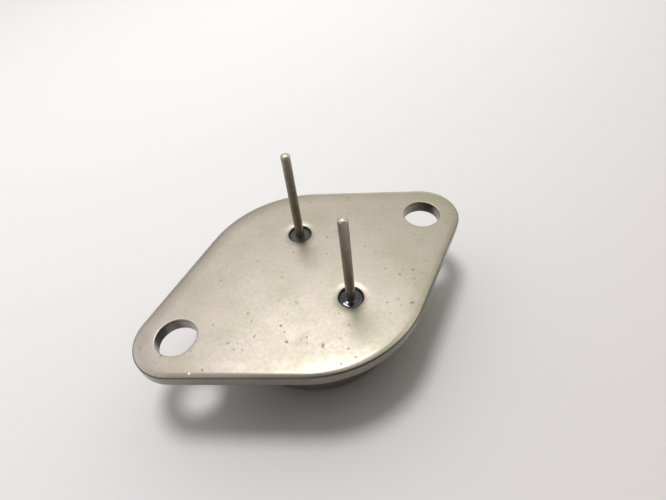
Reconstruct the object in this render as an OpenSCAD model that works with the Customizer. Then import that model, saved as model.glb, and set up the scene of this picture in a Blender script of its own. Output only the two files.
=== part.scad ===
// Power transistor in a steel TO-3 (TO-204AA) outline.
// It lies on the flat top of its can, with the flange's seating plane and the two pins upwards.
// Units are millimetres. The origin is the centre of the can's flat top, +Z runs along the pins,
// and +X points to the mounting hole that is nearer to the pins.

/* [Outline] */
// Height of the body, from the can's flat top to the seating plane
body_h = 8.0; // [6.6:0.1:9.6]
// Height of the two pins above the seating plane
pin_h = 11.2; // [9.3:0.1:13.5]

/* [Flange] */
// Thickness of the steel flange
flange_t = 1.5; // [1.2:0.05:1.8]
// Width of the flange across its middle
flange_w = 25.06; // [23.5:0.02:30.1]
// Radius of the flange's two ends, about the mounting holes
flange_end_r = 4.26; // [3.5:0.02:5.2]
// Width of the rounded edge that stamping leaves on the seating side
edge_roll_w = 0.65; // [0.3:0.05:0.9]
// Depth of that rounded edge
edge_roll_d = 0.22; // [0.15:0.01:0.3]

/* [Mounting holes] */
// Distance between the two mounting holes
hole_spacing = 30.15; // [28:0.05:36.2]
// Diameter of the mounting holes
mounting_hole_d = 4.06; // [3.4:0.02:4.9]
// Rounding of the mounting holes' edge on the seating side
mounting_hole_roll = 0.12; // [0.05:0.01:0.2]

/* [Can] */
// Outside diameter of the drawn can
can_d = 20.4; // [18:0.1:21.4]
// Thickness of the can's sheet
can_wall = 0.4; // [0.3:0.05:0.6]
// Outside radius where the can's wall turns into its flat top
can_corner_r = 1.0; // [0.7:0.05:1.5]
// Width of the flat rim that welds the can to the flange, beyond the bend
weld_rim_w = 0.7; // [0.5:0.05:0.9]
// Inside radius of the bend between the can's wall and its rim
rim_bend_r = 0.2; // [0.1:0.05:0.4]

/* [Pins and glass seals] */
// Distance between the two pins
pin_pitch = 10.84; // [9:0.02:13]
// Distance of the pins' line from the middle of the flange
pin_line_offset = 1.71; // [1.4:0.01:2.1]
// Diameter of a pin
pin_d = 0.97; // [0.8:0.01:1.16]
// Lean of the base pin from upright, in degrees
base_pin_lean = 1.9; // [0.7:0.1:3]
// Lean of the emitter pin from upright, in degrees
emitter_pin_lean = 1.0; // [0.7:0.1:3]
// Chamfer of a pin's tip
pin_tip_chamfer = 0.15; // [0.05:0.05:0.3]
// Diameter of the flange's holes for the glass seals
seal_hole_d = 2.6; // [2.4:0.02:3.1]
// Rounding of those holes' edge on the seating side
seal_hole_roll = 0.25; // [0.1:0.01:0.28]
// Depth of the glass below the seating plane, where it wets the hole's wall
glass_recess = 0.3; // [0.28:0.01:0.4]
// Depth of the hollow meniscus between the pin and the hole's wall
meniscus_depth = 0.15; // [0.08:0.01:0.25]
// Length of a pin below the flange, inside the can
pin_inner_h = 1.9; // [1.6:0.05:2.4]
// Diameter of the nail head on a pin's inner end
nail_head_d = 1.8; // [1.5:0.05:2.2]
// Thickness of the nail head
nail_head_t = 0.35; // [0.25:0.05:0.5]

/* [Heat spreader and die] */
// Diameter of the copper heat spreader
spreader_d = 8.6; // [7.1:0.1:9]
// Thickness of the heat spreader
spreader_t = 1.2; // [0.9:0.05:1.5]
// Distance of the heat spreader from the middle of the flange, away from the pins
spreader_offset = 2.6; // [2:0.1:3.2]
// Thickness of the braze under the heat spreader
braze_t = 0.06; // [0.04:0.01:0.1]
// Side of the square silicon die
die_side = 4.4; // [3.6:0.1:5]
// Thickness of the die
die_t = 0.28; // [0.2:0.02:0.4]
// Thickness of the solder under the die
solder_t = 0.08; // [0.05:0.01:0.12]
// Width of the solder that shows all round the die
solder_rim = 0.25; // [0.1:0.05:0.3]

/* [Clips and coating] */
// Width of the two connecting clips
clip_w = 1.0; // [0.7:0.05:1.2]
// Thickness of the clips' strip
clip_t = 0.15; // [0.1:0.01:0.2]
// Length of a clip's flat foot
clip_foot = 1.1; // [0.9:0.05:1.4]
// Height of a clip's arch between its feet
clip_arch_h = 0.9; // [0.6:0.05:1.3]
// Distance of the clips' contacts from the middle of the die
contact_offset = 1.15; // [0.95:0.05:1.4]
// Thickness of the silicone coating over the die's corners
coating_cover = 0.1; // [0.05:0.05:0.3]
// Rim of the heat spreader that the coating leaves bare
coating_margin = 0.3; // [0.1:0.05:0.4]

/* [Hidden] */
$fn = 96;
eps = 0.01; // how far a cutter runs past the face that it cuts

steel = "#b9b2a0";
pin_alloy = "#6b6357";
sealing_glass = "#23262e";
copper = "#b87345";
silver_braze = "#cfcabb";
solder_grey = "#a7a9ad";
silicon_grey = "#5d6470";
tinned_strip = "#c8c6be";
white_silicone = "#e8e4da";

// Flange: arcs about its middle and about both holes, joined by straight flanks
flange_z = body_h - flange_t;
flange_r = flange_w / 2;
hole_x = hole_spacing / 2;
flank_angle = acos((flange_r - flange_end_r) / hole_x);
flank_l = hole_x * sin(flank_angle);
flank_inset = 0.004; // how far the flanks' faces lie inside the arcs', so that they cross cleanly
edge_roll_start = 4; // degrees between the flat seating plane and the rounded edge where it begins
edge_roll_r = norm([edge_roll_w, edge_roll_d]) / 2
    / sin(atan2(edge_roll_d, edge_roll_w) - edge_roll_start);

// Pins and seals: a pin stands straight in its glass and bends just above it
base_at = [pin_line_offset, -pin_pitch / 2];
emitter_at = [pin_line_offset, pin_pitch / 2];
pin_r = pin_d / 2;
seal_r = seal_hole_d / 2;
glass_h = flange_t - glass_recess;
glass_z = body_h - glass_recess;
bend_z = glass_z + pin_r * tan(max(base_pin_lean, emitter_pin_lean) / 2);
meniscus_w = (seal_r - pin_r) / 2;
meniscus_r = (meniscus_w ^ 2 + meniscus_depth ^ 2) / (2 * meniscus_depth);
head_z = flange_z - pin_inner_h;

// Stack that carries the die, from the flange's inner face down into the can
stack_at = [-spreader_offset, 0];
spreader_z = flange_z - braze_t - spreader_t;
solder_z = spreader_z - solder_t;
die_z = solder_z - die_t;
clip_drop = die_z - head_z;
coating_r = spreader_d / 2 - coating_margin;
die_corner_r = die_side / sqrt(2);
die_corner_h = solder_t + die_t + coating_cover;
dome_depth = (coating_r ^ 2 - die_corner_r ^ 2 - die_corner_h ^ 2) / (2 * die_corner_h);
dome_r = sqrt(coating_r ^ 2 + dome_depth ^ 2);

// The sliver between a square corner at the origin and the arc that rounds it
module corner_sliver(r) {
    difference() {
        square(r);
        translate([r, r]) circle(r);
    }
}

// Half section of the flange out to radius r, with its stamped edge, a little taller than the flange
module flange_section(r) {
    over_w = edge_roll_w + edge_roll_r * sin(edge_roll_start);
    difference() {
        translate([0, -eps]) square([r, flange_t + 2 * eps]);
        translate([r, flange_t]) difference() {
            translate([-over_w, -edge_roll_d - eps]) square([over_w + eps, edge_roll_d + 3 * eps]);
            translate([-edge_roll_w, 0]) rotate(-edge_roll_start) translate([0, -edge_roll_r])
                circle(edge_roll_r);
        }
    }
}

// The straight stretch between the middle arc and one end arc, in the quarter towards +X and +Y
module flank() {
    rotate(flank_angle) translate([flange_r - flange_end_r - flank_inset, 0, -flank_inset])
        rotate([90, 0, 0]) linear_extrude(flank_l) flange_section(flange_end_r);
}

// What lies between the arcs and flanks, well inside the stamped edge
module flange_core() {
    half_end = flange_end_r / 2;
    middle = (flange_r - half_end) * [cos(flank_angle), sin(flank_angle)];
    end = [hole_x, 0] + half_end * [cos(flank_angle), sin(flank_angle)];
    translate([0, 0, -eps]) linear_extrude(flange_t + 2 * eps)
        polygon([end, middle, [-middle.x, middle.y], [-end.x, end.y],
                 -end, -middle, [middle.x, -middle.y], [end.x, -end.y]]);
}

module flange_plate() {
    intersection() {
        cylinder(r = hole_spacing, h = flange_t);
        union() {
            rotate_extrude() flange_section(flange_r);
            for (x = [-hole_x, hole_x]) translate([x, 0, 0]) rotate_extrude() flange_section(flange_end_r);
            for (side = [0, 180]) rotate(side) {
                flank();
                mirror([0, 1, 0]) flank();
            }
            flange_core();
        }
    }
}

// A punched hole through the flange, its seating edge rounded to radius roll
module punched_hole(d, roll) {
    r = d / 2;
    translate([0, 0, -eps]) cylinder(d = d, h = flange_t + 2 * eps);
    rotate_extrude() translate([r + roll, flange_t]) difference() {
        translate([-roll - r / 2, -roll]) square([roll + r / 2, roll + eps]);
        translate([0, -roll]) circle(roll);
    }
}

module flange() {
    color(steel) translate([0, 0, flange_z]) difference() {
        flange_plate();
        for (x = [-hole_x, hole_x]) translate([x, 0, 0]) punched_hole(mounting_hole_d, mounting_hole_roll);
        for (at = [base_at, emitter_at]) translate(at) punched_hole(seal_hole_d, seal_hole_roll);
    }
}

// Half section of the can's sheet: flat top at the bottom, wall, and the rim that meets the flange
module can_section() {
    r = can_d / 2;
    mouth_r = rim_bend_r + can_wall;
    difference() {
        union() {
            difference() {
                square([r, flange_z]);
                translate([r, 0]) mirror([1, 0]) corner_sliver(can_corner_r);
            }
            translate([0, flange_z - can_wall]) square([r + rim_bend_r + weld_rim_w, can_wall]);
            translate([r, flange_z - can_wall]) mirror([0, 1]) corner_sliver(rim_bend_r);
        }
        difference() {
            translate([-eps, can_wall]) square([r - can_wall + eps, flange_z]);
            translate([r - can_wall, can_wall]) mirror([1, 0]) corner_sliver(can_corner_r - can_wall);
        }
        translate([r - can_wall, flange_z]) mirror([0, 1]) corner_sliver(mouth_r);
    }
}

module can() {
    color(steel) rotate_extrude() can_section();
}

module glass_seal(at) {
    color(sealing_glass) translate([at.x, at.y, flange_z]) difference() {
        rotate_extrude() difference() {
            square([seal_r, glass_h]);
            translate([pin_r + meniscus_w, glass_h - meniscus_depth + meniscus_r]) circle(meniscus_r);
        }
        translate([0, 0, -eps]) cylinder(d = pin_d, h = glass_h + 2 * eps);
    }
}

module base_glass_seal() {
    glass_seal(base_at);
}

module emitter_glass_seal() {
    glass_seal(emitter_at);
}

// The space above the mitre at which a pin bends from upright to its lean
module above_bend(lean) {
    rotate([0, -lean / 2, 0]) translate([-2 * pin_d, -2 * pin_d, 0])
        cube([4 * pin_d, 4 * pin_d, pin_h + flange_t]);
}

// The pin's buried length, upright through the glass, with its nail head
module pin_shank() {
    translate([0, 0, head_z - bend_z]) {
        cylinder(d = nail_head_d, h = nail_head_t);
        cylinder(d = pin_d, h = bend_z - head_z + pin_r);
    }
}

// The pin's free length and its chamfered tip
module free_length(lean) {
    straight_l = (body_h + pin_h - bend_z) / cos(lean) - pin_tip_chamfer;
    rotate([0, -lean, 0]) {
        translate([0, 0, -pin_r]) cylinder(d = pin_d, h = pin_r + straight_l);
        translate([0, 0, straight_l])
            cylinder(r1 = pin_r, r2 = pin_r - pin_tip_chamfer, h = pin_tip_chamfer);
    }
}

// A pin that leans by so many degrees towards -X above the glass
module lead_pin(at, lean) {
    color(pin_alloy) translate([at.x, at.y, bend_z]) {
        difference() {
            pin_shank();
            above_bend(lean);
        }
        intersection() {
            free_length(lean);
            above_bend(lean);
        }
    }
}

module base_pin() {
    lead_pin(base_at, base_pin_lean);
}

module emitter_pin() {
    lead_pin(emitter_at, emitter_pin_lean);
}

module heat_spreader() {
    color(copper) translate([stack_at.x, stack_at.y, spreader_z]) cylinder(d = spreader_d, h = spreader_t);
}

module spreader_braze() {
    color(silver_braze) translate([stack_at.x, stack_at.y, flange_z - braze_t])
        cylinder(d = spreader_d, h = braze_t);
}

// A square plate centred on the stack
module square_plate(side, z, t) {
    translate([stack_at.x - side / 2, stack_at.y - side / 2, z]) cube([side, side, t]);
}

module die_solder() {
    color(solder_grey) square_plate(die_side + 2 * solder_rim, solder_z, solder_t);
}

module transistor_die() {
    color(silicon_grey) square_plate(die_side, die_z, die_t);
}

// A point of a clip's side view between its feet, so far along the span and lifted off the lower face.
// Height runs down into the can, and the far foot lies clip_drop nearer to the flange.
function arch_point(along, span, lift) =
    let (slope = atan2(PI * (clip_arch_h * sin(360 * along) - clip_drop * sin(180 * along) / 2), span),
         height = clip_arch_h * sin(180 * along) ^ 2 - clip_drop * (1 - cos(180 * along)) / 2)
    [along * span - lift * sin(slope), height + lift * cos(slope)];

module clip_profile(span) {
    steps = 24;
    polygon(concat(
        [[-clip_foot, clip_t], [-clip_foot, 0]],
        [for (i = [0:steps]) arch_point(i / steps, span, 0)],
        [[span + clip_foot, -clip_drop], [span + clip_foot, clip_t - clip_drop]],
        [for (i = [steps:-1:0]) arch_point(i / steps, span, clip_t)]
    ));
}

// A bent strip from a pin's nail head to a contact on the die
module clip(at, contact) {
    way = contact - at;
    color(tinned_strip) translate([at.x, at.y, head_z]) rotate(atan2(way.y, way.x)) mirror([0, 0, 1])
        translate([clip_foot / 2, clip_w / 2, 0]) rotate([90, 0, 0])
            linear_extrude(clip_w) clip_profile(norm(way) - clip_foot);
}

module base_clip() {
    clip(base_at, stack_at - [0, contact_offset]);
}

module emitter_clip() {
    clip(emitter_at, stack_at + [0, contact_offset]);
}

// A shallow dome of silicone that grips the die and both clips' feet
module junction_coating() {
    color(white_silicone) difference() {
        translate([stack_at.x, stack_at.y, spreader_z]) intersection() {
            translate([0, 0, dome_depth]) sphere(dome_r);
            translate([0, 0, -dome_r]) cylinder(r = 2 * dome_r, h = dome_r);
        }
        die_solder();
        transistor_die();
        base_clip();
        emitter_clip();
    }
}

flange();
can();
base_glass_seal();
emitter_glass_seal();
base_pin();
emitter_pin();
heat_spreader();
spreader_braze();
die_solder();
transistor_die();
base_clip();
emitter_clip();
junction_coating();
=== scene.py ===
"""Looks of a power transistor in a steel TO-3 outline, which lies on its can with its two pins upwards."""
import logging
import math
from dataclasses import dataclass, field
from enum import Enum
from typing import Sequence

import bmesh
import bpy
from bmesh.types import BMEdge, BMesh
from mathutils import Matrix, Vector


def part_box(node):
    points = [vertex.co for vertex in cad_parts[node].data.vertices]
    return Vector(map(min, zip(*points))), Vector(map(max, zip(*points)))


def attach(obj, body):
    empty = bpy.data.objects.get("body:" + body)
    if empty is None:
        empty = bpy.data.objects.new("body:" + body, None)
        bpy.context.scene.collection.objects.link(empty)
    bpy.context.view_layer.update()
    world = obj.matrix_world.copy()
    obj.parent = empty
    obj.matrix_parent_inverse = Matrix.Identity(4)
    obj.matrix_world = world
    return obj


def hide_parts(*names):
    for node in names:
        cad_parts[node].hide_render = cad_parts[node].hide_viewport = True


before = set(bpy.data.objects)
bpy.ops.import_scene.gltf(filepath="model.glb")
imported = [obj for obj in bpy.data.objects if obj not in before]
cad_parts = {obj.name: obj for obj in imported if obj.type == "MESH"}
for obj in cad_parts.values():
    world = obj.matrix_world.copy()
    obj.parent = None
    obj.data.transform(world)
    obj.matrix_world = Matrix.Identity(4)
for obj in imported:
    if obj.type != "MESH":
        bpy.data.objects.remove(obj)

MM = 0.001
FULL_TURN = 2 * math.pi

# Two points closer than the first are one, and an edge shorter than the second is none.
SAME_PLACE = 0.0005 * MM
NO_LENGTH = 0.0002 * MM

# The pins' axes, in millimetres.
PIN_X = 1.71
PIN_Y = 5.42

# What many nodes share: their settings, the range that a fade covers, and what the fade gives.
SMOOTH = {"interpolation_type": "SMOOTHSTEP"}
COLOURS = {"data_type": "RGBA"}
MULTIPLY = {"operation": "MULTIPLY"}
MULTIPLY_ADD = {"operation": "MULTIPLY_ADD"}
SPAN = ("From Min", "From Max")
RESULT = ("To Min", "To Max")

Point = tuple[float, float]
Triple = tuple[float, float, float]
Tree = bpy.types.NodeTree
Node = bpy.types.Node
Socket = bpy.types.NodeSocket

log = logging.getLogger("power_transistor")


class Slot(Enum):
    """The record's material slots."""

    STEEL = "plated_steel"
    GLASS = "sealing_glass"
    PIN = "pin_alloy"
    COPPER = "copper"
    BRAZE = "silver_braze"
    SOLDER = "solder"
    SILICON = "silicon"
    STRIP = "tinned_strip"
    SILICONE = "silicone"


# ---------------------------------------------------------------- nodes and colours


def linear(colour: str) -> tuple[float, float, float, float]:
    """Turns an sRGB hex colour into the linear colour that a shader takes.

    Args:
        colour: The colour, such as "#b9b2a0".

    Returns:
        Red, green, blue and an alpha of 1.
    """
    parts = [int(colour[i:i + 2], 16) / 255 for i in (1, 3, 5)]
    red, green, blue = (p / 12.92 if p <= 0.04045 else ((p + 0.055) / 1.055) ** 2.4 for p in parts)
    return red, green, blue, 1.0


def per_mm(size: float) -> float:
    """Turns the real size of a pattern's features, in millimetres, into a texture scale."""
    return 1 / (size * MM)


def add_node(tree: Tree, kind: str, settings: dict[str, object] | None = None,
             inputs: dict[str | int | tuple[str, str], object] | None = None) -> Node:
    """Adds a node, sets its properties, and fills or links its inputs.

    Args:
        tree: The node tree that gets the node.
        kind: The node's Blender type, after "ShaderNode".
        settings: Properties of the node by name.
        inputs: Values, output sockets, or nodes for their first output, by the input's name or number. A pair of
            names takes a pair of values.

    Returns:
        The new node.
    """
    node = tree.nodes.new("ShaderNode" + kind)
    for name, value in (settings or {}).items():
        setattr(node, name, value)
    for key, value in (inputs or {}).items():
        for name, part in zip(key, value) if isinstance(key, tuple) else ((key, value),):
            if isinstance(part, (Node, Socket)):
                tree.links.new(part.outputs[0] if isinstance(part, Node) else part, node.inputs[name])
            else:
                node.inputs[name].default_value = part
    return node


def add_layer(tree: Tree, shader: Node, share: Node | float, colour: str = "", rough: float = 0.0,
              relief: float = 0.0) -> None:
    """Lays a layer over a finish, with its own colour, roughness or relief.

    Args:
        tree: The material's node tree.
        shader: The Principled shader, which shows the finish so far.
        share: How strong the layer is at each place.
        colour: Its sRGB colour, if it has one.
        rough: What it adds to the roughness.
        relief: How far it stands up, in metres, or sinks if negative.
    """
    base, gloss, normal = (shader.inputs[name] for name in ("Base Color", "Roughness", "Normal"))
    if colour:
        under = base.links[0].from_socket if base.links else base.default_value
        mixed = add_node(tree, "Mix", COLOURS, {0: share, 6: under, 7: linear(colour)})
        tree.links.new(mixed.outputs[2], base)
    if rough:
        under = gloss.links[0].from_socket if gloss.links else gloss.default_value
        tree.links.new(add_node(tree, "Math", MULTIPLY_ADD, {0: share, 1: rough, 2: under}).outputs[0], gloss)
    if relief:
        under = {"Normal": normal.links[0].from_socket} if normal.links else {}
        raised = add_node(tree, "Bump", {"invert": relief < 0}, {"Height": share, "Distance": abs(relief), **under})
        tree.links.new(raised.outputs[0], normal)


# ---------------------------------------------------------------- finishes


@dataclass(frozen=True)
class Finish:
    """A finish whose own pattern is drawn by a subclass.

    Attributes:
        name: The material's name.
        colour: The main sRGB colour.
        roughness: The main roughness, before any tarnish.
        metallic: 1 for a metal, 0 for anything else.
    """

    name: str
    colour: str
    roughness: float
    metallic: float

    def material(self) -> bpy.types.Material:
        """Makes the material.

        Returns:
            A node material with a Principled shader, dressed by pattern().
        """
        made = bpy.data.materials.new(self.name)
        made.use_nodes = True
        tree = made.node_tree
        tree.nodes.clear()
        shader = add_node(tree, "BsdfPrincipled", inputs={
            "Base Color": linear(self.colour), "Roughness": self.roughness, "Metallic": self.metallic})
        add_node(tree, "OutputMaterial", inputs={"Surface": shader})
        self.pattern(tree, shader, add_node(tree, "TexCoord").outputs["Object"])
        return made

    def pattern(self, tree: Tree, shader: Node, place: Socket) -> None:
        """Draws the finish's own detail.

        Args:
            tree: The material's node tree.
            shader: The Principled shader.
            place: Object coordinates, in metres.
        """
        raise NotImplementedError


@dataclass(frozen=True)
class Mark:
    """A pit, stain or rubbed spot at a known place.

    Attributes:
        at: Its middle, in millimetres.
        size: Its length, width and height, in millimetres.
        turn: The direction of its length, in degrees.
        strength: How much of the spot's colour its middle takes.
        core: The share of its half size out to which it is full.
        edge: The share at which it has faded out.
    """

    at: Triple
    size: Triple
    turn: float
    strength: float
    core: float = 0.1
    edge: float = 1.9


@dataclass(frozen=True)
class SatinNickel(Finish):
    """Barrel-plated satin nickel on stamped steel: a soft wide gloss, fine mottling, tarnish and small pits.

    Its main colour is that of the cleaner metal, a little pink. Sizes, heights and reliefs are in millimetres, and
    a rough value is what that place adds to the roughness.

    Attributes:
        tarnish: Colour of the thin tarnish, a little green.
        pit: Colour inside pits and stains.
        rubbed: Colour where something hard has rubbed the plating bright.
        cloud_mm: Size of the wide patches of tarnish.
        mottle_mm: Size of the fine mottling.
        grain_mm: Size of the plating's grain, coarser than the real 0.02 mm so that it shows.
        mottle_share: How much of the tarnish follows the mottling. The rest follows the patches.
        tarnish_span: Where tarnish begins and is full, in the mix of both patterns.
        wave_relief: How far the face dips and rises with the patches.
        pit_mm: Spacing of the scattered pits.
        pit_space: Whether the pits are laid out over the face or through space.
        ragged_mm: Size of the pattern that makes the pits ragged.
        ragged_shift: How far it pulls their edges about.
        pitless: Share of the places that have no pit.
        pit_reach: Radius of the largest pit, as a share of the spacing.
        pit_fade: Where a pit's edge begins and is full, as shares of the spacing.
        pit_strength: How much of the pit's colour the scattered ones take.
        worked_z: Height under which the die has burnished the steel.
        worked_fade: How far under that height the burnish is full.
        shear_below: How far under that height the painted dark line runs along the sheared corner.
        painted_line_colour: Colour of that line, which paints the dark reflection and shade along the corner.
        painted_line_fade: Half width of its full line, and where the line has faded out.
        painted_line_strength: How much of its colour the line takes.
        bow: How the face is bowed: its slope along X, and how much hollower it grows along X and fuller along Y,
            per metre.
        marks: Pits and stains at known places.
        rubs: Rubbed spots at known places.
    """

    tarnish: str = "#807b6f"
    pit: str = "#5c4e42"
    rubbed: str = "#f4f1ea"
    cloud_mm: float = 5.0
    mottle_mm: float = 0.38
    grain_mm: float = 0.12
    mottle_share: float = 0.42
    tarnish_span: Point = (0.36, 0.64)
    tarnish_rough: float = 0.05
    wave_relief: float = 0.012
    mottle_relief: float = 0.0035
    grain_relief: float = 0.0025
    pit_mm: float = 1.4
    pit_space: str = "2D"
    ragged_mm: float = 0.2
    ragged_shift: float = 0.3
    pitless: float = 0.6
    pit_reach: float = 0.09
    pit_fade: Point = (-0.06, 0.08)
    pit_strength: float = 0.65
    pit_rough: float = 0.2
    pit_relief: float = 0.008
    worked_z: float = 7.97
    worked_fade: float = 0.07
    worked_rough: float = -0.2
    shear_below: float = 0.2
    # A painted dark line: the dark reflection and shade along the sheared corner.
    painted_line_colour: str = "#2e2822"
    painted_line_fade: Point = (0.02, 0.08)
    painted_line_strength: float = 0.75
    bow: Triple = (0.0, 0.0, 0.0)
    marks: tuple[Mark, ...] = ()
    rubs: tuple[Mark, ...] = ()

    def pattern(self, tree: Tree, shader: Node, place: Socket) -> None:
        """Mixes tarnish, mottling, pits and rubbed spots, and roughens the plating with its grain.

        Args:
            tree: The material's node tree.
            shader: The Principled shader.
            place: Object coordinates, in metres.
        """
        cloud, mottle, grain = (
            add_node(tree, "TexNoise", inputs={
                "Vector": place, "Scale": per_mm(size), "Detail": detail, "Roughness": roughness})
            for size, detail, roughness in (
                (self.cloud_mm, 4.0, 0.6), (self.mottle_mm, 4.0, 0.65), (self.grain_mm, 2.0, 0.6)))
        height = add_node(tree, "SeparateXYZ", inputs={0: place})
        worked = add_node(tree, "MapRange", SMOOTH, {
            "Value": height.outputs["Z"], RESULT: (1.0, 0.0),
            SPAN: ((self.worked_z - self.worked_fade) * MM, self.worked_z * MM)})
        clouded = add_node(tree, "Math", MULTIPLY, {0: cloud, 1: 1 - self.mottle_share})
        share = add_node(tree, "Math", MULTIPLY_ADD, {0: mottle, 1: self.mottle_share, 2: clouded})
        tarnish = add_node(tree, "MapRange", SMOOTH, {"Value": share, SPAN: self.tarnish_span})
        # The painted dark reflection along the sheared corner: a line at shear_below under worked_z.
        above = add_node(tree, "Math", {"operation": "SUBTRACT"}, {
            0: height.outputs["Z"], 1: (self.worked_z - self.shear_below) * MM})
        off_line = add_node(tree, "Math", {"operation": "ABSOLUTE"}, {0: above})
        painted_dark_line = add_node(tree, "MapRange", SMOOTH, {
            "Value": off_line, SPAN: Vector(self.painted_line_fade) * MM, RESULT: (self.painted_line_strength, 0.0)})
        slope, hollow, full = self.bow
        squared = add_node(tree, "VectorMath", MULTIPLY, {0: place, 1: place})
        curved = add_node(tree, "VectorMath", {"operation": "DOT_PRODUCT"}, {
            0: squared, 1: (hollow / 2, -full / 2, 0.0)})
        bowed = add_node(tree, "Math", MULTIPLY_ADD, {0: height.outputs["X"], 1: slope, 2: curved.outputs["Value"]})
        warped = add_node(tree, "Math", MULTIPLY_ADD, {0: cloud, 1: self.wave_relief * MM, 2: bowed})
        add_layer(tree, shader, warped, relief=1.0)
        add_layer(tree, shader, tarnish, self.tarnish, self.tarnish_rough)
        add_layer(tree, shader, mottle, relief=self.mottle_relief * MM)
        add_layer(tree, shader, grain, relief=self.grain_relief * MM)
        add_layer(tree, shader, worked, rough=self.worked_rough)
        add_layer(tree, shader, self.pits(tree, place, worked), self.pit, self.pit_rough, -self.pit_relief * MM)
        # Paints the dark reflection and shade along the sheared corner.
        add_layer(tree, shader, painted_dark_line, self.painted_line_colour)
        add_layer(tree, shader, self.spots(tree, place, self.rubs), self.rubbed)

    def pits(self, tree: Tree, place: Socket, worked: Node) -> Node:
        """Draws scattered pits and the known marks.

        Args:
            tree: The material's node tree.
            place: Object coordinates, in metres.
            worked: Where the die has smoothed the steel, which has no pits.

        Returns:
            How dark each place is, from 0 to 1.
        """
        ragged = add_node(tree, "TexNoise", inputs={
            "Vector": place, "Scale": per_mm(self.ragged_mm), "Detail": 3.0})
        shifted = add_node(tree, "VectorMath", MULTIPLY_ADD, {
            0: ragged.outputs["Color"], 1: (self.ragged_shift * MM,) * 3, 2: place})
        cells = add_node(tree, "TexVoronoi", {"voronoi_dimensions": self.pit_space}, {
            "Vector": shifted, "Scale": per_mm(self.pit_mm)})
        chance = add_node(tree, "SeparateColor", inputs={0: cells.outputs["Color"]})
        chosen = add_node(tree, "MapRange", inputs={
            "Value": chance, SPAN: (self.pitless, 1.0), "To Max": self.pit_reach})
        hole = add_node(tree, "Math", {"operation": "SUBTRACT"}, {0: chosen, 1: cells.outputs["Distance"]})
        depth = add_node(tree, "MapRange", SMOOTH, {
            "Value": hole, SPAN: self.pit_fade, "To Max": self.pit_strength})
        spared = add_node(tree, "Math", {"operation": "SUBTRACT"}, {0: 1.0, 1: worked})
        scattered = add_node(tree, "Math", MULTIPLY, {0: depth, 1: spared})
        return add_node(tree, "Math", {"operation": "MAXIMUM"}, {
            0: scattered, 1: self.spots(tree, shifted, self.marks)})

    def spots(self, tree: Tree, place: Socket | Node, marks: Sequence[Mark]) -> Node | float:
        """Draws soft-edged spots at known places.

        Args:
            tree: The material's node tree.
            place: Coordinates, in metres.
            marks: The spots.

        Returns:
            How strong the spots are at each place, from 0 to 1.
        """
        total: Node | float = 0.0
        for mark in marks:
            turned = add_node(tree, "Mapping", {"vector_type": "TEXTURE"}, {
                "Vector": place, "Location": Vector(mark.at) * MM, "Rotation": (0, 0, math.radians(mark.turn)),
                "Scale": Vector(mark.size) / 2 * MM})
            away = add_node(tree, "VectorMath", {"operation": "LENGTH"}, {0: turned})
            spot = add_node(tree, "MapRange", SMOOTH, {
                "Value": away.outputs["Value"], SPAN: (mark.core, mark.edge), RESULT: (mark.strength, 0.0)})
            total = add_node(tree, "Math", {"operation": "MAXIMUM"}, {0: total, 1: spot})
        return total


@dataclass(frozen=True)
class DrawnNickel(SatinNickel):
    """The same plating on a deep-drawn can: faint draw streaks up the wall, and a rim browned by its weld and
    darkened further by painted shade where it lies under the flange.

    Attributes:
        scorch_and_shade: Colour of the heat tint at the weld, dark enough to paint the shade under the flange as well.
        scorch_and_shade_z: Height at which the heat tint and painted shade are full, in millimetres.
        scorch_and_shade_fade: How far under that height they begin, in millimetres.
        scorch_and_shade_strength: How much of its colour the metal takes.
        streak_mm: Spacing of the draw streaks.
        streak_squeeze: Their spacing over their length.
        streak_relief: Their height, in millimetres.
    """

    # Heat tint at the weld, darkened further to paint the shade under the flange.
    scorch_and_shade: str = "#43342f"
    scorch_and_shade_z: float = 6.2
    scorch_and_shade_fade: float = 0.9
    scorch_and_shade_strength: float = 0.95
    streak_mm: float = 0.35
    streak_squeeze: float = 0.04
    streak_relief: float = 0.008

    def pattern(self, tree: Tree, shader: Node, place: Socket) -> None:
        """Adds the heat tint, darkened as painted shade under the flange, and the draw streaks to the plating.

        Args:
            tree: The material's node tree.
            shader: The Principled shader.
            place: Object coordinates, in metres.
        """
        super().pattern(tree, shader, place)
        height = add_node(tree, "SeparateXYZ", inputs={0: place})
        # Heat tint with painted shade, strongest near the rim under the flange.
        scorched_and_shaded = add_node(tree, "MapRange", SMOOTH, {
            "Value": height.outputs["Z"], "To Max": self.scorch_and_shade_strength,
            SPAN: ((self.scorch_and_shade_z - self.scorch_and_shade_fade) * MM, self.scorch_and_shade_z * MM)})
        stretched = add_node(tree, "Mapping", inputs={"Vector": place, "Scale": (1, 1, self.streak_squeeze)})
        streaks = add_node(tree, "TexNoise", inputs={
            "Vector": stretched, "Scale": per_mm(self.streak_mm), "Detail": 2.0})
        add_layer(tree, shader, scorched_and_shaded, self.scorch_and_shade)
        add_layer(tree, shader, streaks, relief=self.streak_relief * MM)


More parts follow.
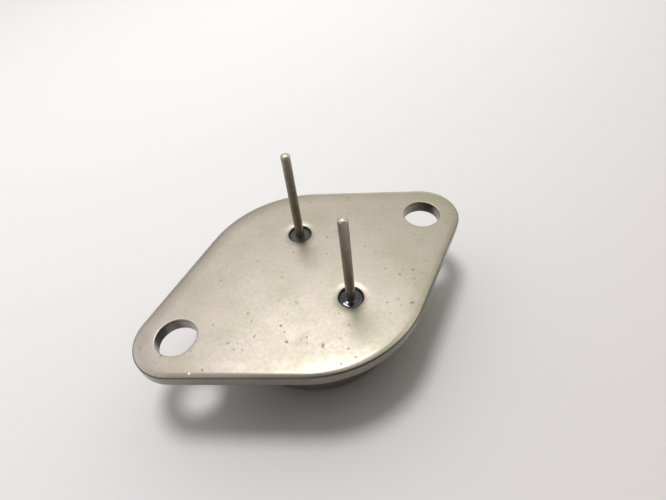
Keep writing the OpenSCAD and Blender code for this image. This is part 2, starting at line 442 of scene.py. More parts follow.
@dataclass(frozen=True)
class DullPinAlloy(Finish):
    """Drawn iron-nickel wire, dulled by the furnace that fused the glass: grey-brown, streaked along its length.

    Attributes:
        oxide: Colour of the thin oxide.
        oxide_span: Where the oxide begins and is full, in its pattern.
        oxide_rough: How much rougher it is.
        patch_mm: Size of its patches.
        streak_mm: Spacing of the draw lines.
        streak_squeeze: Their spacing over their length.
        streak_relief: Their height, in millimetres.
    """

    oxide: str = "#857e70"
    oxide_span: Point = (0.12, 0.42)
    oxide_rough: float = 0.2
    patch_mm: float = 1.2
    streak_mm: float = 0.3
    streak_squeeze: float = 0.12
    streak_relief: float = 0.01

    def pattern(self, tree: Tree, shader: Node, place: Socket) -> None:
        """Streaks the wire with oxide and fine draw lines.

        Args:
            tree: The material's node tree.
            shader: The Principled shader.
            place: Object coordinates, in metres.
        """
        stretched = add_node(tree, "Mapping", inputs={"Vector": place, "Scale": (1, 1, self.streak_squeeze)})
        streaks = add_node(tree, "TexNoise", inputs={
            "Vector": stretched, "Scale": per_mm(self.streak_mm), "Detail": 4.0})
        patches = add_node(tree, "TexNoise", inputs={
            "Vector": place, "Scale": per_mm(self.patch_mm), "Detail": 3.0})
        share = add_node(tree, "Math", MULTIPLY, {0: streaks, 1: patches})
        oxide = add_node(tree, "MapRange", SMOOTH, {"Value": share, SPAN: self.oxide_span})
        add_layer(tree, shader, oxide, self.oxide, self.oxide_rough)
        add_layer(tree, shader, streaks, relief=self.streak_relief * MM)


@dataclass(frozen=True)
class SealingGlass(Finish):
    """Fused compression glass, nearly black, with a few tiny bubbles under a glossy skin.

    Attributes:
        depth: The second colour, in its clouds.
        cloud_mm: Size of the clouds.
        bubble_mm: Spacing of the bubbles.
        bubble_fade: Where a bubble's edge begins and ends, as shares of the spacing.
        skin_relief: How far the skin waves, in millimetres.
        bubble_relief: How far a bubble lifts it, in millimetres.
    """

    depth: str
    cloud_mm: float = 0.6
    bubble_mm: float = 0.35
    bubble_fade: Point = (0.06, 0.14)
    skin_relief: float = 0.02
    bubble_relief: float = 0.004

    def pattern(self, tree: Tree, shader: Node, place: Socket) -> None:
        """Clouds the glass and dots it with bubbles.

        Args:
            tree: The material's node tree.
            shader: The Principled shader.
            place: Object coordinates, in metres.
        """
        cloud = add_node(tree, "TexNoise", inputs={"Vector": place, "Scale": per_mm(self.cloud_mm), "Detail": 3.0})
        cells = add_node(tree, "TexVoronoi", inputs={"Vector": place, "Scale": per_mm(self.bubble_mm)})
        bubble = add_node(tree, "MapRange", SMOOTH, {
            "Value": cells.outputs["Distance"], SPAN: self.bubble_fade, RESULT: (1.0, 0.0)})
        add_layer(tree, shader, cloud, self.depth, relief=self.skin_relief * MM)
        add_layer(tree, shader, bubble, relief=self.bubble_relief * MM)


@dataclass(frozen=True)
class MottledFinish(Finish):
    """A finish with soft patches of a second colour and a fine relief, for the pieces inside the can.

    Attributes:
        second: The second sRGB colour.
        patch_mm: Size of the patches.
        relief_mm: Height of the fine relief.
        patch_span: Where the second colour begins and is full, in its pattern.
        patch_rough: How much rougher it is.
    """

    second: str
    patch_mm: float
    relief_mm: float
    patch_span: Point = (0.35, 0.65)
    patch_rough: float = 0.08

    def pattern(self, tree: Tree, shader: Node, place: Socket) -> None:
        """Mixes the two colours in patches and raises the relief.

        Args:
            tree: The material's node tree.
            shader: The Principled shader.
            place: Object coordinates, in metres.
        """
        patches = add_node(tree, "TexNoise", inputs={
            "Vector": place, "Scale": per_mm(self.patch_mm), "Detail": 4.0, "Roughness": 0.6})
        share = add_node(tree, "MapRange", SMOOTH, {"Value": patches, SPAN: self.patch_span})
        add_layer(tree, shader, share, self.second, self.patch_rough)
        add_layer(tree, shader, patches, relief=self.relief_mm * MM)


# ---------------------------------------------------------------- shaping


def arc(centre: Point, radius: float, start: float, end: float, steps: int) -> list[Point]:
    """Lists the points of an arc in a profile.

    Args:
        centre: The arc's centre.
        radius: Its radius.
        start: The angle of its first point, in degrees.
        end: The angle of its last point, in degrees.
        steps: How many straight steps it has.

    Returns:
        steps + 1 points.
    """
    turns = (math.radians(start + (end - start) * i / steps) for i in range(steps + 1))
    return [(centre[0] + radius * math.cos(t), centre[1] + radius * math.sin(t)) for t in turns]


def wire(bm: BMesh, profile: Sequence[Point], place: Matrix, closed: bool = False) -> list[BMEdge]:
    """Draws a profile as a chain of edges.

    Args:
        bm: The mesh that gets it.
        profile: Points as distance from the axis and height, in millimetres.
        place: Where the profile's axis stands and how it is turned.
        closed: Whether the last point joins the first.

    Returns:
        The new edges.
    """
    verts = [bm.verts.new(place @ Vector((out * MM, 0, up * MM))) for out, up in profile]
    pairs = list(zip(verts, verts[1:] + verts[:1]))
    return [bm.edges.new(pair) for pair in (pairs if closed else pairs[:-1])]


def sweep(bm: BMesh, edges: list[BMEdge], centre: Vector, steps: int, angle: float = 0.0,
          step: Sequence[float] = (0.0, 0.0, 0.0), merge: bool = False) -> None:
    """Sweeps a chain of edges round an upright axis, or straight on.

    Args:
        bm: The mesh that gets the skin.
        edges: The chain.
        centre: The axis.
        steps: How many steps the sweep has.
        angle: The whole angle that it turns, in radians.
        step: How far each step goes straight on.
        merge: Whether the last chain joins the first.
    """
    verts = list(dict.fromkeys(v for e in edges for v in e.verts))
    bmesh.ops.spin(bm, geom=edges + verts, cent=centre, axis=(0, 0, 1), dvec=step, angle=angle, steps=steps,
                   use_merge=merge, use_duplicate=False)


def turn(bm: BMesh, profile: Sequence[Point], centre: Point, steps: int, closed: bool = False) -> None:
    """Spins a profile all the way round an upright axis.

    Args:
        bm: The mesh that gets the skin.
        profile: Points as distance from the axis and height, in millimetres.
        centre: The axis, in millimetres.
        steps: How many steps the turn has.
        closed: Whether the profile is a closed loop.
    """
    axis = Vector((centre[0] * MM, centre[1] * MM, 0))
    sweep(bm, wire(bm, profile, Matrix.Translation(axis), closed), axis, steps, FULL_TURN, merge=True)


def finished(name: str, bm: BMesh) -> bpy.types.Object:
    """Closes the seams of a mesh, turns its faces outwards, and makes it a smooth object.

    Args:
        name: The piece's name.
        bm: Its mesh, which is freed.

    Returns:
        The new object at the origin.
    """
    bmesh.ops.remove_doubles(bm, verts=bm.verts, dist=SAME_PLACE)
    bmesh.ops.dissolve_degenerate(bm, edges=bm.edges, dist=NO_LENGTH)
    bmesh.ops.recalc_face_normals(bm, faces=bm.faces)
    for face in bm.faces:
        face.smooth = True
    mesh = bpy.data.meshes.new(name)
    bm.to_mesh(mesh)
    bm.free()
    piece = bpy.data.objects.new(name, mesh)
    bpy.context.scene.collection.objects.link(piece)
    return piece


def place_piece(piece: bpy.types.Object, finish: Finish, nodes: Sequence[str]) -> bpy.types.Object:
    """Dresses a finished piece, lets it ride on the body, and puts it in place of its CAD nodes.

    Args:
        piece: The piece.
        finish: What it is made of.
        nodes: The CAD nodes that it stands for.

    Returns:
        The piece.
    """
    piece.data.materials.append(finish.material())
    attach(piece, "root")
    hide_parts(*nodes)
    log.info("%s: %d faces, for %s", piece.name, len(piece.data.polygons), ", ".join(nodes))
    return piece


# ---------------------------------------------------------------- sub-assemblies


@dataclass
class StampedFlange:
    """The oval steel flange, stamped from the seating side, which rolls that side's edge and leaves a sheared land.

    Sizes are in millimetres. Its height comes from the CAD node's box.

    Attributes:
        roll_width: How far in from the edge the stamping has rolled it.
        roll_depth: How far down it is rolled at the edge.
        roll_start: Its slope where the roll begins, in degrees.
        crown_width: Width of the gentle fall before the roll.
        crown_steps: Where that fall gets its points, as shares of its width.
        corner: Rounding of the sheared corners.
        lower_round: Rounding of the inner face's outer edge.
        dish_width: Width of the shallow dish round each seal's hole.
        dish_steps: Where a dish gets its points, as shares of its width.
        support: Width of the flat strips that hold the shading beside an edge.
        seam: How far apart two points may be that close a seam.
        nick_at: Where the edge once met something hard.
    """

    finish: Finish
    thickness: float = 1.5
    half_length: float = 19.335
    half_width: float = 12.53
    hole_x: float = 15.075
    roll_width: float = 0.65
    roll_depth: float = 0.22
    roll_start: float = 5.0
    crown_width: float = 1.15
    crown_steps: tuple[float, ...] = (0.15, 0.3, 0.45, 0.6, 0.75, 0.9)
    corner: float = 0.08
    lower_round: float = 0.12
    mounting_hole_r: float = 2.03
    mounting_hole_roll: float = 0.12
    seal_hole_r: float = 1.3
    seal_hole_roll: float = 0.16
    dish_width: float = 0.7
    dish_depth: float = 0.06
    dish_steps: tuple[float, ...] = (0.8, 0.6, 0.4, 0.2)
    support: float = 0.2
    seam: float = 0.002
    end_steps: int = 56
    flank_steps: int = 44
    middle_steps: int = 52
    mounting_hole_steps: int = 96
    seal_hole_steps: int = 72
    nick_at: Triple = (-15.45, -4.24, 7.75)
    nick_reach: float = 0.28
    nick_depth: float = 0.12
    top: float = field(init=False)
    bottom: float = field(init=False)
    end_r: float = field(init=False)
    lean: float = field(init=False)

    def __post_init__(self) -> None:
        """Takes the flange's height from its CAD node and works out the direction of its flanks."""
        self.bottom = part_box("flange")[0].z / MM
        self.top = self.bottom + self.thickness
        self.end_r = self.half_length - self.hole_x
        self.lean = math.acos((self.half_width - self.end_r) / self.hole_x)

    def edge_profile(self, radius: float) -> list[Point]:
        """Lists the outer edge's profile, from the seating plane down to the inner face.

        Args:
            radius: How far the edge lies from the profile's axis.

        Returns:
            Points as distance from the axis and height.
        """
        start = math.radians(self.roll_start)
        sag = self.crown_width * math.tan(start) / 2
        slope = math.atan2(self.roll_depth - sag, self.roll_width)
        roll_r = math.hypot(self.roll_width, self.roll_depth - sag) / 2 / math.sin(slope - start)
        centre = (radius - self.roll_width - roll_r * math.sin(start), self.top - sag - roll_r * math.cos(start))
        inner = radius - self.roll_width - self.crown_width
        crown = [(inner + self.crown_width * t, self.top - sag * t * t) for t in self.crown_steps]
        end = 2 * slope - start
        roll = arc(centre, roll_r, 90 - self.roll_start, 90 - math.degrees(end), 12)
        flat = inner - self.support / 2
        land_top = self.top - self.roll_depth
        corner = arc((radius - self.corner, land_top - self.corner * math.cos(end)), self.corner,
                     90 - math.degrees(end), 0, 4)
        lower = arc((radius - self.lower_round, self.bottom + self.lower_round), self.lower_round, 0, -90, 6)
        fine = self.corner / 2
        return ([(flat, self.top), (inner, self.top)] + crown + roll[:-1] + corner + [(radius, corner[-1][1] - fine),
                (radius, lower[0][1] + fine)] + lower + [(radius - self.lower_round - self.support, self.bottom)])

    def hole_profile(self, radius: float, roll: float, dish: Point = (0.0, 0.0)) -> list[Point]:
        """Lists a punched hole's profile, from the seating plane down to the inner face.

        Args:
            radius: The hole's radius.
            roll: The rounding of its upper edge.
            dish: Width and depth of the shallow dish that the punch draws round the hole.

        Returns:
            Points as distance from the axis and height.
        """
        width, depth = dish
        steepest = math.degrees(math.atan2(2 * depth, width)) if width else 0.0
        high = self.top - depth
        out = radius + roll * (1 - math.sin(math.radians(steepest)))
        upper = arc((radius + roll, high - roll * math.cos(math.radians(steepest))), roll, 90 + steepest, 180, 8)
        dished = [(out + width * t, high + depth * (1 - (1 - t) ** 2)) for t in self.dish_steps] if width else []
        lower = arc((radius + self.corner, self.bottom + self.corner), self.corner, 180, 270, 4)
        flat = out + width + self.support
        return ([(flat, self.top), (out + width, self.top)] + dished + upper + [(radius, upper[-1][1] - self.corner),
                (radius, lower[0][1] + self.corner)] + lower + [(flat, self.bottom)])

    def sweep_edge(self, bm: BMesh) -> None:
        """Sweeps the edge profile round the outline: arcs about both holes and the middle, joined by flanks.

        Args:
            bm: The flange's mesh.
        """
        lean = math.degrees(self.lean)
        hole = Vector((self.hole_x * MM, 0, 0))
        for side in (0, math.pi):
            round_ = Matrix.Rotation(side, 4, "Z")
            for centre, radius, first, last, steps in (
                    (hole, self.end_r, -lean, lean, self.end_steps),
                    (Vector(), self.half_width, lean, 180 - lean, self.middle_steps)):
                at = round_ @ centre
                start = Matrix.Translation(at) @ round_ @ Matrix.Rotation(math.radians(first), 4, "Z")
                sweep(bm, wire(bm, self.edge_profile(radius), start), at, steps, math.radians(last - first))
            for mirror in (1, -1):
                turned = round_ @ Matrix.Rotation(mirror * self.lean, 4, "Z")
                edges = wire(bm, self.edge_profile(self.end_r), Matrix.Translation(round_ @ hole) @ turned)
                along = round_ @ (Vector((-self.hole_x, 0, 0)) + (self.half_width - self.end_r) * Vector(
                    (math.cos(self.lean), mirror * math.sin(self.lean), 0)))
                sweep(bm, edges, Vector(), self.flank_steps, step=along * MM / self.flank_steps)

    def fill_faces(self, bm: BMesh) -> None:
        """Fills the seating plane and the inner face between the outline and the holes.

        Args:
            bm: The flange's mesh.
        """
        bmesh.ops.remove_doubles(bm, verts=bm.verts, dist=self.seam * MM)
        for height, up in ((self.top, 1), (self.bottom, -1)):
            rim = [e for e in bm.edges if e.is_boundary
                   and all(abs(v.co.z / MM - height) < self.corner / 4 for v in e.verts)]
            bmesh.ops.triangle_fill(bm, use_beauty=True, use_dissolve=False, edges=rim, normal=(0, 0, up))

    def nick_edge(self, bm: BMesh) -> None:
        """Dents the edge where it once met something hard.

        Args:
            bm: The flange's mesh.
        """
        centre = Vector(self.nick_at) * MM
        inwards = Vector((-self.hole_x * MM, 0, 0)) - centre
        inwards.z = 0
        inwards.normalize()
        for vert in bm.verts:
            away = (vert.co - centre).length / MM / self.nick_reach
            if away < 1:
                vert.co += inwards * self.nick_depth * MM * (1 - away) ** 2 * (1 + away)

    def build(self) -> bpy.types.Object:
        """Builds and dresses the flange.

        Returns:
            The finished piece.
        """
        bm = bmesh.new()
        self.sweep_edge(bm)
        mounting_hole = self.hole_profile(self.mounting_hole_r, self.mounting_hole_roll)
        seal_hole = self.hole_profile(self.seal_hole_r, self.seal_hole_roll, (self.dish_width, self.dish_depth))
        for side in (-1, 1):
            turn(bm, mounting_hole, (side * self.hole_x, 0), self.mounting_hole_steps)
        for side in (-1, 1):
            turn(bm, seal_hole, (PIN_X, side * PIN_Y), self.seal_hole_steps)
        self.fill_faces(bm)
        self.nick_edge(bm)
        return place_piece(finished("stamped_flange", bm), self.finish, ["flange"])


@dataclass
class DrawnCan:
    """The deep-drawn steel can, welded to the flange by its flat rim.

    Sizes are in millimetres. The supports are strips beside a curve that hold its shading.

    Attributes:
        wall: Thickness of the drawn sheet.
        corner: Outer rounding between the top and the wall.
        bend: Inner rounding between the wall and the rim.
    """

    finish: Finish
    wall: float = 0.4
    outer_r: float = 10.2
    corner: float = 1.0
    bend: float = 0.2
    rim_corner: float = 0.08
    top_support: float = 0.3
    wall_support: float = 0.1
    rim_support: float = 0.05
    steps: int = 160
    rim_r: float = field(init=False)
    height: float = field(init=False)

    def __post_init__(self) -> None:
        """Takes the can's height and its rim's radius from its CAD node."""
        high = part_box("can")[1]
        self.rim_r = high.x / MM
        self.height = high.z / MM

    def profile(self) -> list[Point]:
        """Lists the sheet's section: outside from the flat top to the rim, then back along the inside.

        Returns:
            Points as distance from the axis and height.
        """
        inner_r = self.outer_r - self.wall
        mouth = self.bend + self.wall
        c = self.rim_corner
        flat = self.outer_r - self.corner - self.top_support
        low = self.corner + self.wall_support
        outside = [(0, 0), (flat, 0)]
        outside += arc((self.outer_r - self.corner, self.corner), self.corner, -90, 0, 14)
        outside += [(self.outer_r, low), (self.outer_r, self.height - mouth - self.wall_support)]
        outside += arc((self.outer_r + self.bend, self.height - mouth), self.bend, 180, 90, 8)
        outside += [(self.rim_r - c - self.rim_support, self.height - self.wall)]
        outside += arc((self.rim_r - c, self.height - self.wall + c), c, -90, 0, 4)
        outside += arc((self.rim_r - c, self.height - c), c, 0, 90, 4)
        inside = [(self.rim_r - c - self.rim_support, self.height)]
        inside += arc((inner_r + mouth, self.height - mouth), mouth, 90, 180, 10)
        inside += [(inner_r, low)]
        inside += arc((self.outer_r - self.corner, self.corner), self.corner - self.wall, 0, -90, 10)
        return outside + inside + [(flat, self.wall), (0, self.wall)]

    def build(self) -> bpy.types.Object:
        """Builds and dresses the can.

        Returns:
            The finished piece.
        """
        bm = bmesh.new()
        turn(bm, self.profile(), (0, 0), self.steps)
        return place_piece(finished("drawn_can", bm), self.finish, ["can"])


@dataclass
class PinAndSeal:
    """A pin with its nail head, and the glass that seals it into the flange. Sizes are in millimetres.

    Attributes:
        name: Which lead it is, base or emitter.
        at: The middle of its hole in the flange.
        lean: How far the pin leans towards -X above the glass, in degrees.
        metal: The pin's finish.
        glass: The seal's finish.
        tip_round: Height of the domed tip.
        tip_gap: How far the tip stays under the CAD tip, because the lean lifts its edge.
        head_r: Radius of the nail head inside the can.
        recess: How far the glass lies under the seating plane.
        meniscus: How far the glass falls towards the hole's wall.
        creep: How far it climbs the pin.
        fullness: How far its middle stands above the recess.
        seat: Height of the seating plane.
        bend_length: Height over which the pin bends into its lean.
    """

    name: str
    at: Point
    lean: float
    metal: Finish
    glass: Finish
    pin_r: float = 0.485
    hole_r: float = 1.3
    tip_round: float = 0.26
    tip_gap: float = 0.012
    head_r: float = 0.9
    head_t: float = 0.35
    head_round: float = 0.08
    shaft_support: float = 0.05
    recess: float = 0.3
    meniscus: float = 0.12
    creep: float = 0.08
    fullness: float = 0.06
    seat: float = 8.0
    bend_length: float = 0.5
    pin_steps: int = 48
    shaft_steps: int = 60
    seal_steps: int = 72
    bulge_steps: int = 24

    def pin_profile(self, low: float, high: float) -> list[Point]:
        """Lists the pin's section from its nail head to its rounded tip.

        Args:
            low: Height of the nail head's face.
            high: Height of the tip.

        Returns:
            Points as distance from the axis and height.
        """
        top = high - self.tip_round
        foot = low + self.head_t + self.shaft_support
        shaft = [(self.pin_r, foot + (top - foot) * i / self.shaft_steps) for i in range(self.shaft_steps)]
        dome = [(out, top + (up - top) * self.tip_round / self.pin_r)
                for out, up in arc((0, top), self.pin_r, 0, 84, 12)]
        bend, out = self.head_round, self.head_r - self.head_round
        head = arc((out, low + bend), bend, -90, 0, 4) + arc((out, low + self.head_t - bend), bend, 0, 90, 4)
        return [(0, low)] + head + shaft + dome + [(0, high)]

    def build_pin(self) -> bpy.types.Object:
        """Builds and dresses the pin, straight through the glass and leaning above it.

        Returns:
            The finished piece.
        """
        low, high = (corner.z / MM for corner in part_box(f"{self.name}_pin"))
        bm = bmesh.new()
        turn(bm, self.pin_profile(low, high - self.tip_gap), self.at, self.pin_steps)
        slope = math.tan(math.radians(self.lean))
        start = self.seat - self.recess
        for vert in bm.verts:
            above = max(0.0, vert.co.z / MM - start)
            shift = above - self.bend_length / 2 if above > self.bend_length else above ** 2 / 2 / self.bend_length
            vert.co.x -= slope * shift * MM
        return place_piece(finished(f"{self.name}_lead", bm), self.metal, [f"{self.name}_pin"])

    def build_seal(self) -> bpy.types.Object:
        """Builds and dresses the glass, which wets the pin and rounds down to the hole's wall.

        Returns:
            The finished piece.
        """
        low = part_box(f"{self.name}_glass_seal")[0].z / MM
        rim = self.seat - self.recess + self.fullness
        width = self.hole_r - self.pin_r
        bulge = [(self.pin_r + width * t, rim - self.meniscus * t ** 4 + self.creep * (1 - t) ** 6)
                 for t in (i / self.bulge_steps for i in range(self.bulge_steps + 1))]
        bm = bmesh.new()
        turn(bm, [(self.pin_r, low)] + bulge + [(self.hole_r, low)], self.at, self.seal_steps, closed=True)
        return place_piece(finished(f"{self.name}_seal_glass", bm), self.glass,
                           [f"{self.name}_glass_seal"])


@dataclass
class CanContents:
    """The die on its heat spreader, the clips and the coating, which keep their CAD shapes."""

    finishes: dict[str, tuple[Finish, Slot]]

    def dress(self) -> None:
        """Gives each CAD node its own finish."""
        for name, (finish, slot) in self.finishes.items():
            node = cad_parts[name]
            node.material_slots[0].material = finish.material()
            log.info("%s: CAD shape, %s", name, finish.name)


# ---------------------------------------------------------------- surroundings


@dataclass(frozen=True)
class WhiteBoard(Finish):
    """A matt sheet of white board, whose colour greys away from a painted pool of light behind the part.

    Attributes:
        far: Its colour away from the painted pool of light.
        middle: The middle of the painted pool, in millimetres.
        reach: How far the painted pool reaches along and across its length, in millimetres.
        turn: The direction of its length, in degrees.
    """

    # Colour away from the painted pool of light.
    far: str = "#c8c2c4"
    middle: Point = (28.0, 83.0)
    reach: Point = (310.0, 155.0)
    turn: float = 25.0

    def pattern(self, tree: Tree, shader: Node, place: Socket) -> None:
        """Paints the pool of light: fades the board's colour away from its middle.

        Args:
            tree: The material's node tree.
            shader: The Principled shader.
            place: Object coordinates, in metres.
        """
        centred = add_node(tree, "Mapping", {"vector_type": "TEXTURE"}, {
            "Vector": place, "Location": (self.middle[0] * MM, self.middle[1] * MM, 0),
            "Rotation": (0, 0, math.radians(self.turn)), "Scale": (self.reach[0] * MM, self.reach[1] * MM, 1)})
        away = add_node(tree, "VectorMath", {"operation": "LENGTH"}, {0: centred})
        # Paints the pool of light into the board's colour.
        share = add_node(tree, "MapRange", SMOOTH, {"Value": away.outputs["Value"]})
        add_layer(tree, shader, share, self.far)


@dataclass(frozen=True)
class Glow:
    """A soft bright patch of the room.

    Attributes:
        way: The direction of its middle.
        edge: The cosine, seen from its middle, at which it has faded out.
        core: The cosine at which it is full.
        level: Its brightness, where 1 is white.
    """

    way: Triple
    edge: float
    core: float
    level: float


@dataclass
class Studio:
    """The white board under the part, the lamp, the pale room and the camera.

    Lengths are in metres. A fade along an axis gives the parts of a direction at which it begins and ends.

    Attributes:
        board_drop: How far the board lies under the can, so that the two faces don't coincide.
        lamp_way: The direction of the lamp.
        dimmest: The brightness of the room outside every patch.
        skirting: How much brighter the room is near the floor.
        skirting_fade: The fade of that brightness, upwards.
        room: The patches that light everything: far wall, right and left walls, and the ceiling round the lamp.
        seen: The patches that only metal and glass show: the ceiling overhead, a window on the right, and the
            ceiling on the left.
        near_wall: How bright the near wall shows in metal and glass.
        near_wall_ends: The fade of that wall, away from the viewer.
        near_wall_top: Its fade upwards.
        viewer_way: The direction of the dimmer patch, where one stands and looks in.
        viewer_shade: How much dimmer it is.
        viewer_edge: The cosines, seen from its middle, at which it begins and is full.
        left_tint: The tint of the light from the left.
        right_tint: The tint of the light from the right.
        tint_fade: The fade from one to the other, to the right.
        backdrop: The room's colour behind the part.
        backdrop_level: Its brightness, where 1 is white.
        camera_way: The direction that the camera looks in.
    """

    board: Finish
    board_size: float = 3.0
    board_drop: float = 0.005 * MM
    lamp_way: Triple = (0.06, 0.35, 1.0)
    lamp_distance: float = 1.0
    lamp_size: float = 0.29
    lamp_power: float = 5.5
    dimmest: float = 0.03
    skirting: float = 0.13
    skirting_fade: Point = (0.1, 0.4)
    room: tuple[Glow, ...] = (
        Glow((0.0, 1.0, 0.0), 0.0, 0.9, 0.86),
        Glow((0.94, 0.34, 0.0), 0.2, 0.9, 0.98),
        Glow((-0.84, 0.54, 0.0), 0.2, 0.9, 0.55),
        Glow((0.06, 0.35, 1.0), 0.6, 1.0, 0.36))
    seen: tuple[Glow, ...] = (
        Glow((0.32, -0.02, 0.95), 0.88, 0.97, 1.5),
        Glow((0.82, -0.05, 0.57), 0.82, 0.98, 0.3),
        Glow((-0.62, 0.35, 0.70), 0.77, 0.98, 0.95))
    near_wall: float = 0.95
    near_wall_ends: Point = (-0.5, 0.2)
    near_wall_top: Point = (0.6, 1.0)
    viewer_way: Triple = (0.02, -0.62, 0.78)
    viewer_shade: float = 0.96
    viewer_edge: Point = (0.82, 0.95)
    left_tint: str = "#fdf9fa"
    right_tint: str = "#f9fbea"
    tint_fade: Point = (-0.4, 0.7)
    backdrop: str = "#fbfbfb"
    backdrop_level: float = 1.0
    camera_at: Triple = (-0.012530, -0.030023, 0.046433)
    camera_way: Triple = (0.30896, 0.59789, -0.73964)
    camera_up: Triple = (0.42272, 0.61033, 0.66994)
    lens: float = 25.33

    def lay_board(self) -> None:
        """Lays the board level under the can."""
        bm = bmesh.new()
        bmesh.ops.create_grid(bm, x_segments=8, y_segments=8, size=self.board_size / 2)
        bmesh.ops.translate(bm, verts=bm.verts, vec=(0, 0, -self.board_drop))
        board = finished("white_board", bm)
        board.data.materials.append(self.board.material())

    def hang_lamp(self) -> None:
        """Hangs one round soft lamp behind the part."""
        lamp = bpy.data.lights.new("soft_lamp", "AREA")
        lamp.shape = "DISK"
        lamp.size = self.lamp_size
        lamp.energy = self.lamp_power
        hung = bpy.data.objects.new("soft_lamp", lamp)
        way = Vector(self.lamp_way).normalized()
        turned = way.to_track_quat("Z", "Y").to_matrix().to_4x4()
        hung.matrix_world = Matrix.Translation(way * self.lamp_distance) @ turned
        bpy.context.scene.collection.objects.link(hung)

    def add_glows(self, tree: Tree, sky: Socket, glows: Sequence[Glow], level: Node) -> Node:
        """Adds soft patches to the room's brightness.

        Args:
            tree: The world's node tree.
            sky: The direction looked in.
            glows: The patches.
            level: The brightness so far.

        Returns:
            The new brightness.
        """
        for glow in glows:
            near = add_node(tree, "VectorMath", {"operation": "DOT_PRODUCT"}, {
                0: sky, 1: Vector(glow.way).normalized()})
            share = add_node(tree, "MapRange", SMOOTH, {
                "Value": near.outputs["Value"], SPAN: (glow.edge, glow.core), "To Max": glow.level})
            level = add_node(tree, "Math", {"operation": "ADD"}, {0: share, 1: level})
        return level

    def light_room(self) -> None:
        """Fills the room with soft light, and shows a paler room to the camera and in metal and glass."""
        world = bpy.data.worlds.new("pale_room")
        world.use_nodes = True
        tree = world.node_tree
        tree.nodes.clear()
        sky = add_node(tree, "TexCoord").outputs["Generated"]
        path = add_node(tree, "LightPath")
        way = add_node(tree, "SeparateXYZ", inputs={0: sky})
        skirting = add_node(tree, "MapRange", SMOOTH, {
            "Value": way.outputs["Z"], SPAN: self.skirting_fade, RESULT: (self.dimmest + self.skirting, self.dimmest)})
        level = add_node(tree, "Math", MULTIPLY_ADD, {
            0: self.shown_level(tree, sky, way), 1: self.shows(tree, path),
            2: self.add_glows(tree, sky, self.room, skirting)})
        to_viewer = add_node(tree, "VectorMath", {"operation": "DOT_PRODUCT"}, {
            0: sky, 1: Vector(self.viewer_way).normalized()})
        shade = add_node(tree, "MapRange", SMOOTH, {
            "Value": to_viewer.outputs["Value"], SPAN: self.viewer_edge, RESULT: (1.0, 1 - self.viewer_shade)})
        shaded = add_node(tree, "Math", MULTIPLY, {0: level, 1: shade})
        strength = add_node(tree, "Mix", inputs={
            0: path.outputs["Is Camera Ray"], 2: shaded, 3: self.backdrop_level})
        side = add_node(tree, "MapRange", SMOOTH, {"Value": way.outputs["X"], SPAN: self.tint_fade})
        tint = add_node(tree, "Mix", COLOURS, {0: side, 6: linear(self.left_tint), 7: linear(self.right_tint)})
        colour = add_node(tree, "Mix", COLOURS, {
            0: path.outputs["Is Camera Ray"], 6: tint.outputs[2], 7: linear(self.backdrop)})
        light = add_node(tree, "Background", inputs={"Color": colour.outputs[2], "Strength": strength})
        add_node(tree, "OutputWorld", inputs={"Surface": light})
        bpy.context.scene.world = world

    def shown_level(self, tree: Tree, sky: Socket, way: Node) -> Node:
        """Draws what only metal and glass show: the near wall, the window and the ceiling.

        Args:
            tree: The world's node tree.
            sky: The direction looked in.
            way: Its parts.

        Returns:
            The brightness that they add.
        """
        facing = add_node(tree, "MapRange", SMOOTH, {
            "Value": way.outputs["Y"], SPAN: self.near_wall_ends, RESULT: (self.near_wall, 0.0)})
        low = add_node(tree, "MapRange", SMOOTH, {
            "Value": way.outputs["Z"], SPAN: self.near_wall_top, RESULT: (1.0, 0.0)})
        near_wall = add_node(tree, "Math", MULTIPLY, {0: facing, 1: low})
        return self.add_glows(tree, sky, self.seen, near_wall)

    def shows(self, tree: Tree, path: Node) -> Node:
        """Tells what metal and glass show from what lights the matt surfaces.

        Args:
            tree: The world's node tree.
            path: The ray's path.

        Returns:
            1 for a ray off metal or through glass that has met nothing matt, whose diffuse depth is below a half.
        """
        in_metal = add_node(tree, "Math", {"operation": "MAXIMUM"}, {
            0: path.outputs["Is Glossy Ray"], 1: path.outputs["Is Transmission Ray"]})
        plainly = add_node(tree, "Math", {"operation": "LESS_THAN"}, {0: path.outputs["Diffuse Depth"], 1: 0.5})
        return add_node(tree, "Math", MULTIPLY, {0: in_metal, 1: plainly})

    def set_camera(self) -> None:
        """Sets the camera close above the near left of the part."""
        lens = bpy.data.cameras.new("close_camera")
        lens.lens = self.lens
        lens.sensor_width = 36.0
        lens.clip_start = 0.001
        lens.clip_end = 10.0
        camera = bpy.data.objects.new("close_camera", lens)
        forward = Vector(self.camera_way).normalized()
        right = forward.cross(Vector(self.camera_up)).normalized()
        up = right.cross(forward)
        turned = Matrix((right, up, -forward)).transposed().to_4x4()
        camera.matrix_world = Matrix.Translation(Vector(self.camera_at)) @ turned
        bpy.context.scene.collection.objects.link(camera)
        bpy.context.scene.camera = camera

    def build(self) -> None:
        """Sets up everything around the part."""
        self.set_camera()
        self.lay_board()
        self.hang_lamp()
        self.light_room()
        bpy.context.scene.view_settings.view_transform = "Standard"


# ---------------------------------------------------------------- the part

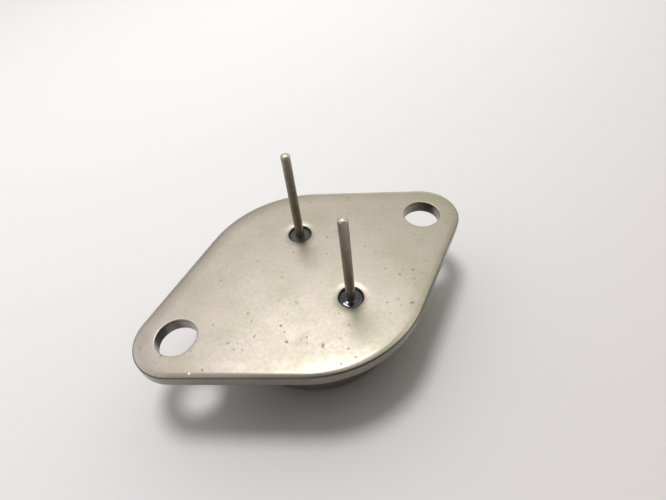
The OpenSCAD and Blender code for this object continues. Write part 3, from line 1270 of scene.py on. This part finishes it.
PITS = tuple(Mark((x, y, 8.0), (length, width, 1.0), turn, strength) for x, y, length, width, turn, strength in (
    (-7.8, -1.2, 0.22, 0.2, 0, 0.95),
    (-5.7, -4.4, 0.26, 0.2, 30, 0.9),
    (-6.1, -6.3, 0.4, 0.16, 125, 0.8),
    (-3.4, -8.6, 0.42, 0.26, 60, 0.65),
    (-10.9, -3.3, 0.36, 0.2, 10, 0.6),
    (-10.7, -4.3, 0.22, 0.18, 0, 0.5),
    (-3.1, -2.7, 0.3, 0.24, 0, 0.45),
    (-7.9, -2.3, 0.2, 0.16, 0, 0.5),
    (-4.0, 4.5, 0.32, 0.26, 0, 0.35),
    (-4.8, -6.8, 1.6, 0.9, 20, 0.16),
    (4.5, -7.9, 0.24, 0.2, 0, 0.6),
    (6.5, -9.3, 0.36, 0.24, 150, 0.8),
    (5.6, -8.1, 0.4, 0.2, 140, 0.4),
    (7.5, -1.6, 0.3, 0.2, 20, 0.55),
    (7.7, -5.7, 0.3, 0.2, 100, 0.55),
    (9.2, -6.0, 0.26, 0.26, 0, 0.7),
    (8.6, -7.0, 0.24, 0.16, 0, 0.5),
    (9.2, 7.2, 0.24, 0.2, 0, 0.6),
    (-17.5, 1.6, 1.5, 1.0, 60, 0.14),
))
RUBS = (Mark((-15.3, -4.4, 7.8), (0.16, 0.16, 0.5), 0, 1.0),)
CLEAN_NICKEL = "#8b847d"


def main() -> None:
    """Builds the studio and every piece in order."""
    logging.basicConfig(level=logging.INFO, format="%(name)s: %(message)s")
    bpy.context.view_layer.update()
    # The board's fading colour paints a pool of light behind the part.
    Studio(WhiteBoard("matt_white_board_with_painted_light_pool", "#ecebed", 0.9, 0.0)).build()

    plating = SatinNickel(
        "satin_nickel_on_stamped_steel", CLEAN_NICKEL, 0.395, 1.0, bow=(0.030, -1.7, -1.05), marks=PITS, rubs=RUBS)
    StampedFlange(plating).build()
    # Nothing on the can is sheared or burnished, so its worked height lies under it.
    DrawnCan(DrawnNickel(
        "satin_nickel_on_drawn_steel", CLEAN_NICKEL, 0.475, 1.0, pit_space="3D", worked_z=-1.0)).build()

    wire_metal = DullPinAlloy("dull_iron_nickel_wire", "#9f998d", 0.32, 1.0)
    bright_glass = SealingGlass("black_sealing_glass", "#171721", 0.1, 0.0, depth="#1e1a2e")
    dull_glass = SealingGlass("dulled_sealing_glass", "#171107", 0.55, 0.0, depth="#201a0e")
    for name, y, lean, glass in (("base", -PIN_Y, 1.9, bright_glass), ("emitter", PIN_Y, 1.0, dull_glass)):
        lead = PinAndSeal(name, (PIN_X, y), lean, wire_metal, glass)
        lead.build_seal()
        lead.build_pin()

    CanContents({
        # Copper cleaned in the brazing furnace: a warm soft gloss with browner patches.
        "heat_spreader": (MottledFinish("bright_copper", "#c4794b", 0.28, 1.0, "#a8623a", 1.5, 0.004), Slot.COPPER),
        # Silver and copper frozen from the melt: pale and bright, with a slightly rippled skin.
        "spreader_braze": (
            MottledFinish("silver_copper_braze", "#d2cdbd", 0.3, 1.0, "#bfb49c", 0.6, 0.01), Slot.BRAZE),
        # Soft solder frozen from the melt: a cool grey with a fine frost.
        "die_solder": (MottledFinish("soft_solder", "#a9abaf", 0.35, 1.0, "#8f9196", 0.5, 0.012), Slot.SOLDER),
        # Polished silicon under its oxide: slate blue, dark and glassy.
        "transistor_die": (
            MottledFinish("passivated_silicon", "#5d6470", 0.15, 0.0, "#4b5263", 0.8, 0.001), Slot.SILICON),
        # Strip dipped in molten tin: a silvery skin with soft wrinkles.
        "base_clip": (MottledFinish("tinned_copper_strip", "#c8c6be", 0.3, 1.0, "#b1aea3", 0.5, 0.005), Slot.STRIP),
        "emitter_clip": (
            MottledFinish("tinned_nickel_strip", "#c8c6be", 0.3, 1.0, "#b1aea3", 0.5, 0.005), Slot.STRIP),
        # Silicone cured as a drop: milky white with a smooth wet skin.
        "junction_coating": (
            MottledFinish("white_silicone", "#e8e4da", 0.35, 0.0, "#ddd7ca", 1.2, 0.006), Slot.SILICONE),
    }).dress()


if __name__ == "__main__":
    main()
